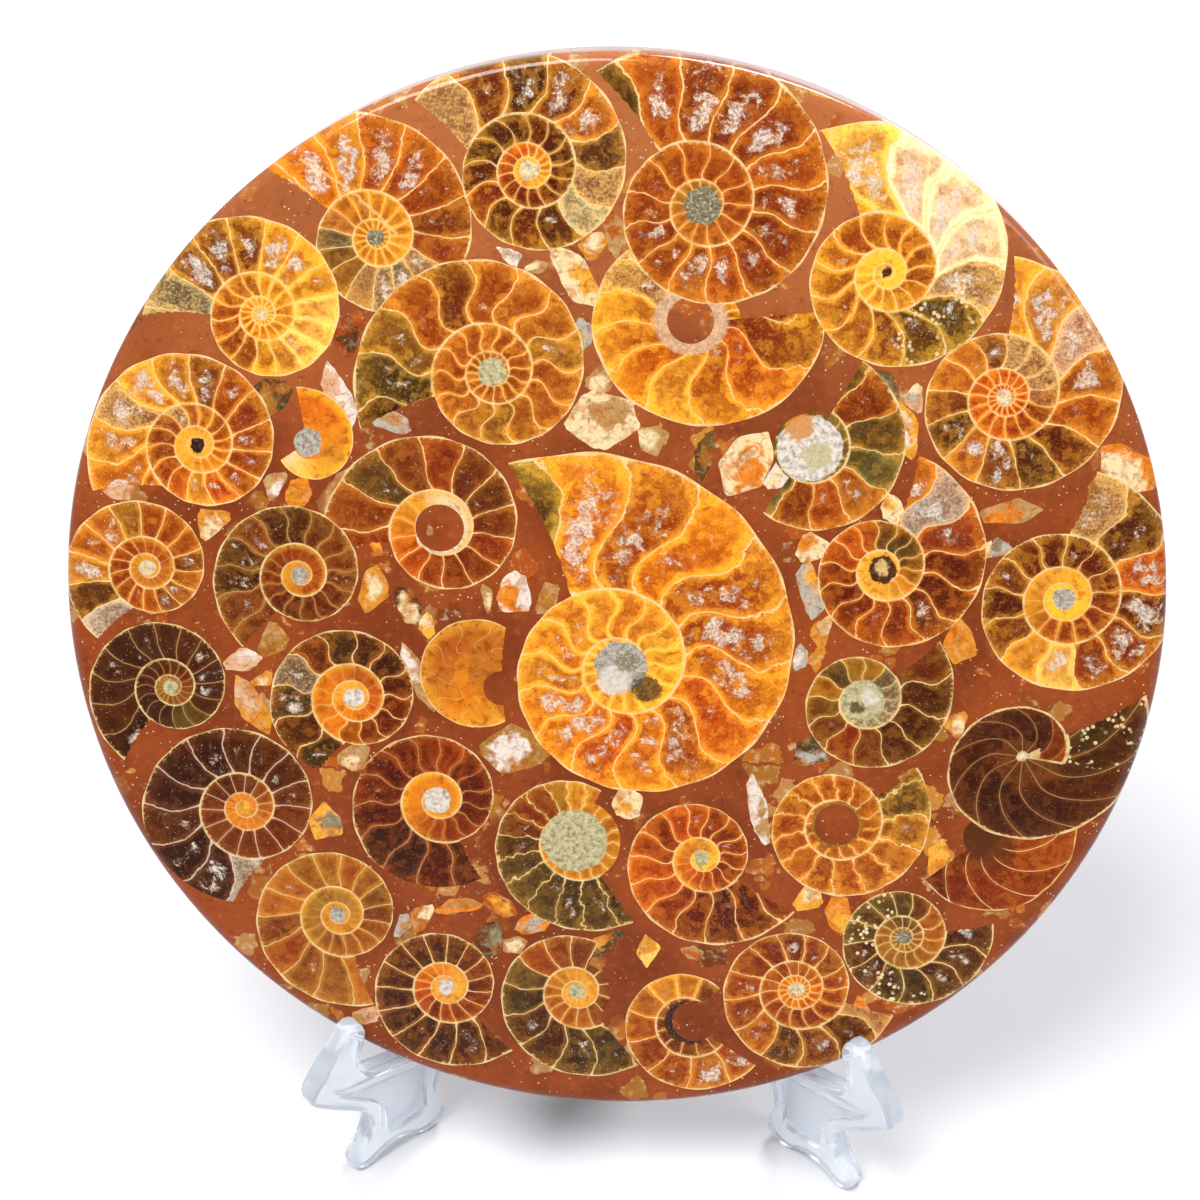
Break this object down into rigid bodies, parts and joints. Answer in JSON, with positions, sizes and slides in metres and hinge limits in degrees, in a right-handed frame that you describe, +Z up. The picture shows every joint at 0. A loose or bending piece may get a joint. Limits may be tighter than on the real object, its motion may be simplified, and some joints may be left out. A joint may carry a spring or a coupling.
{
  "type": "fossil slab",
  "caption": "Round polished stone slab inlaid with sliced ammonites, leaning on a clear folding plastic easel with an upright hinge pin.",
  "frame": {"origin": "centre of the bounding box, on the surface that the easel stands on", "axes": "+X to the slab's right as seen from the front, +Y to the back, +Z up; the polished face looks towards -Y and leans back"},
  "size_m": [0.15, 0.063, 0.1584],
  "materials": {
    "matrix": "polished red-brown stone and resin",
    "golden": "polished golden calcite",
    "orange": "polished orange calcite",
    "amber": "polished amber calcite",
    "redbrown": "polished red-brown calcite",
    "darkbrown": "polished dark brown calcite",
    "olive": "polished olive calcite",
    "cream": "polished cream shell",
    "crystal": "polished grey and white crystal",
    "clear": "clear moulded acrylic"
  },
  "bodies": {
    "root": {"ammonite_top_red": "redbrown", "ammonite_wavy_amber": "amber", "ammonite_golden_left": "golden", "ammonite_maroon_top": "redbrown", "ammonite_yellow_top": "golden", "ammonite_amber_right": "amber", "ammonite_brown_left": "darkbrown", "ammonite_dark_left": "darkbrown", "ammonite_orange_eye_left": "olive", "ammonite_orange_eye_low": "darkbrown", "ammonite_centre": "orange", "ammonite_pitted_low": "golden", "ammonite_grey_bottom": "darkbrown", "ammonite_orange_eye_bottom": "darkbrown", "ammonite_tan_bottom": "amber", "ammonite_round_bottom": "redbrown", "ammonite_open_bottom": "amber", "ammonite_speckled_low": "olive", "nautilus_right": "darkbrown", "ammonite_copper_low": "orange", "ammonite_crystal_eye": "olive", "ammonite_red_right": "redbrown", "ammonite_brown_right": "olive", "ammonite_rim_right": "redbrown", "ammonite_half_moon": "golden", "ammonite_half_white_eye": "olive", "ammonite_orange_rim_left": "orange", "ammonite_small_rim_left": "amber", "ammonite_dark_rim_left": "darkbrown", "ammonite_white_patch": "orange", "ammonite_open_ring": "amber", "ammonite_crescent": "amber", "ammonite_small_crescent": "orange", "nautilus_broken": "redbrown", "chip_dark_crystal_left": "olive", "chip_white_left": "crystal", "chip_red_shell": "redbrown", "chip_yellow_top": "golden", "chip_cream_lump": "cream", "chip_diamond": "cream", "chip_cream_block": "cream", "chip_dark_crescent": "olive", "chip_green": "olive", "chip_yellow_crystal": "golden", "chip_pale_crystals": "crystal", "chip_orange_left": "golden", "chip_white_dome": "crystal", "chip_orange_bar": "golden", "chip_yellow_low": "golden", "chip_brown_crystals": "amber", "chip_shell_sliver": "crystal", "chip_dark_crystal_low": "olive", "chip_orange_low": "orange", "chip_orange_wedge": "golden", "chip_rim_right": "cream", "matrix_slab": "matrix", "stand_left": "clear", "stand_right": "clear", "hinge_pin": "clear"}
  },
  "joints": []
}
